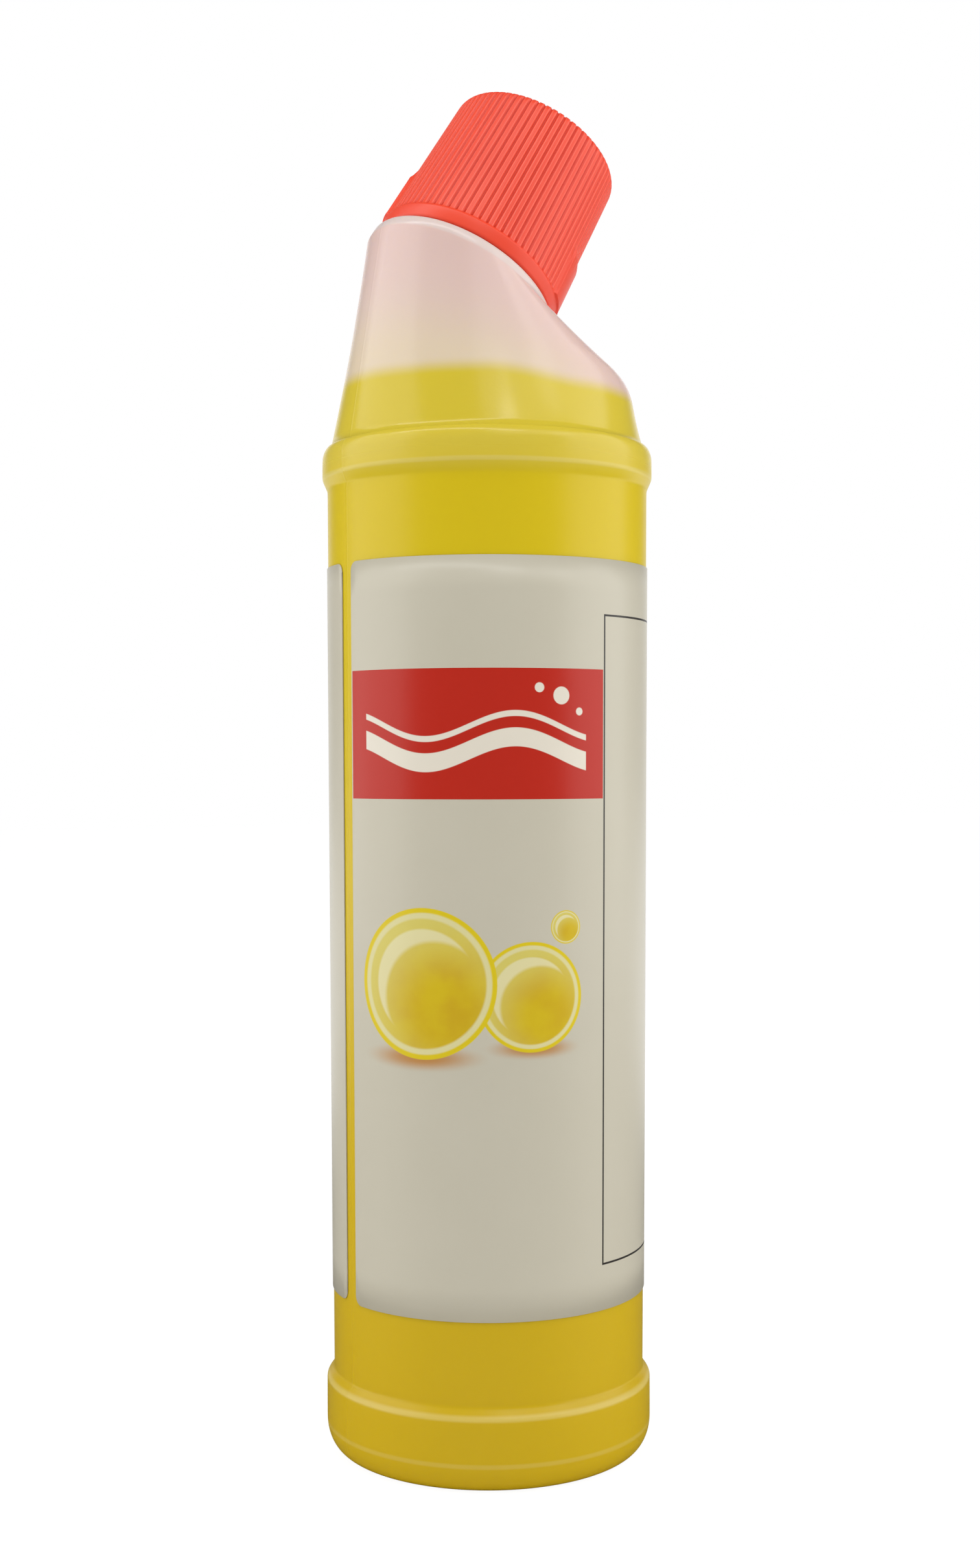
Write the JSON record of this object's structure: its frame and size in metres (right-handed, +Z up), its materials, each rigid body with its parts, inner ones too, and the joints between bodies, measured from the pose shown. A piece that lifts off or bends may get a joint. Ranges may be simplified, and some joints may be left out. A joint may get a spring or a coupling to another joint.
{
  "type": "toilet cleaner bottle",
  "caption": "Round plastic bottle of yellow toilet cleaning gel with a leaning neck, hooped body, wrap-around label and ribbed screw cap.",
  "frame": {"origin": "middle of the foot, on the surface that the bottle stands on", "axes": "+Z up along the body, +X the way the neck leans, +Y to complete a right-handed frame"},
  "size_m": [0.0714, 0.0714, 0.2923],
  "materials": {
    "natural_plastic": "translucent blow-moulded polyethylene, satin gloss",
    "yellow_gel": "thick translucent yellow gel",
    "label_film": "printed film, light gloss",
    "white_plastic": "plain moulded plastic",
    "red_plastic": "moulded polypropylene, satin gloss",
    "liner_foam": "pressed foam disc"
  },
  "bodies": {
    "bottle_body": {"bottle": "natural_plastic", "gel_fill": "yellow_gel", "label": "label_film", "nozzle_insert": "white_plastic"},
    "liner_body": {"cap_liner": "liner_foam"},
    "cap_body": {"cap": "red_plastic"}
  },
  "joints": [
    {"name": "cap_lift", "type": "slide", "parent": "bottle_body", "child": "liner_body", "axis": [0.524, 0, 0.8517], "range_m": [0, 0.01]},
    {"name": "cap_turn", "type": "hinge", "parent": "liner_body", "child": "cap_body", "pos_m": [-0.006, 0, 0.25215], "axis": [0.524, 0, 0.8517], "range_deg": [0, 900]}
  ],
  "couplings": [
    {"joint": "cap_lift", "follows": "cap_turn", "m_per_rad": 0.00063662}
  ]
}
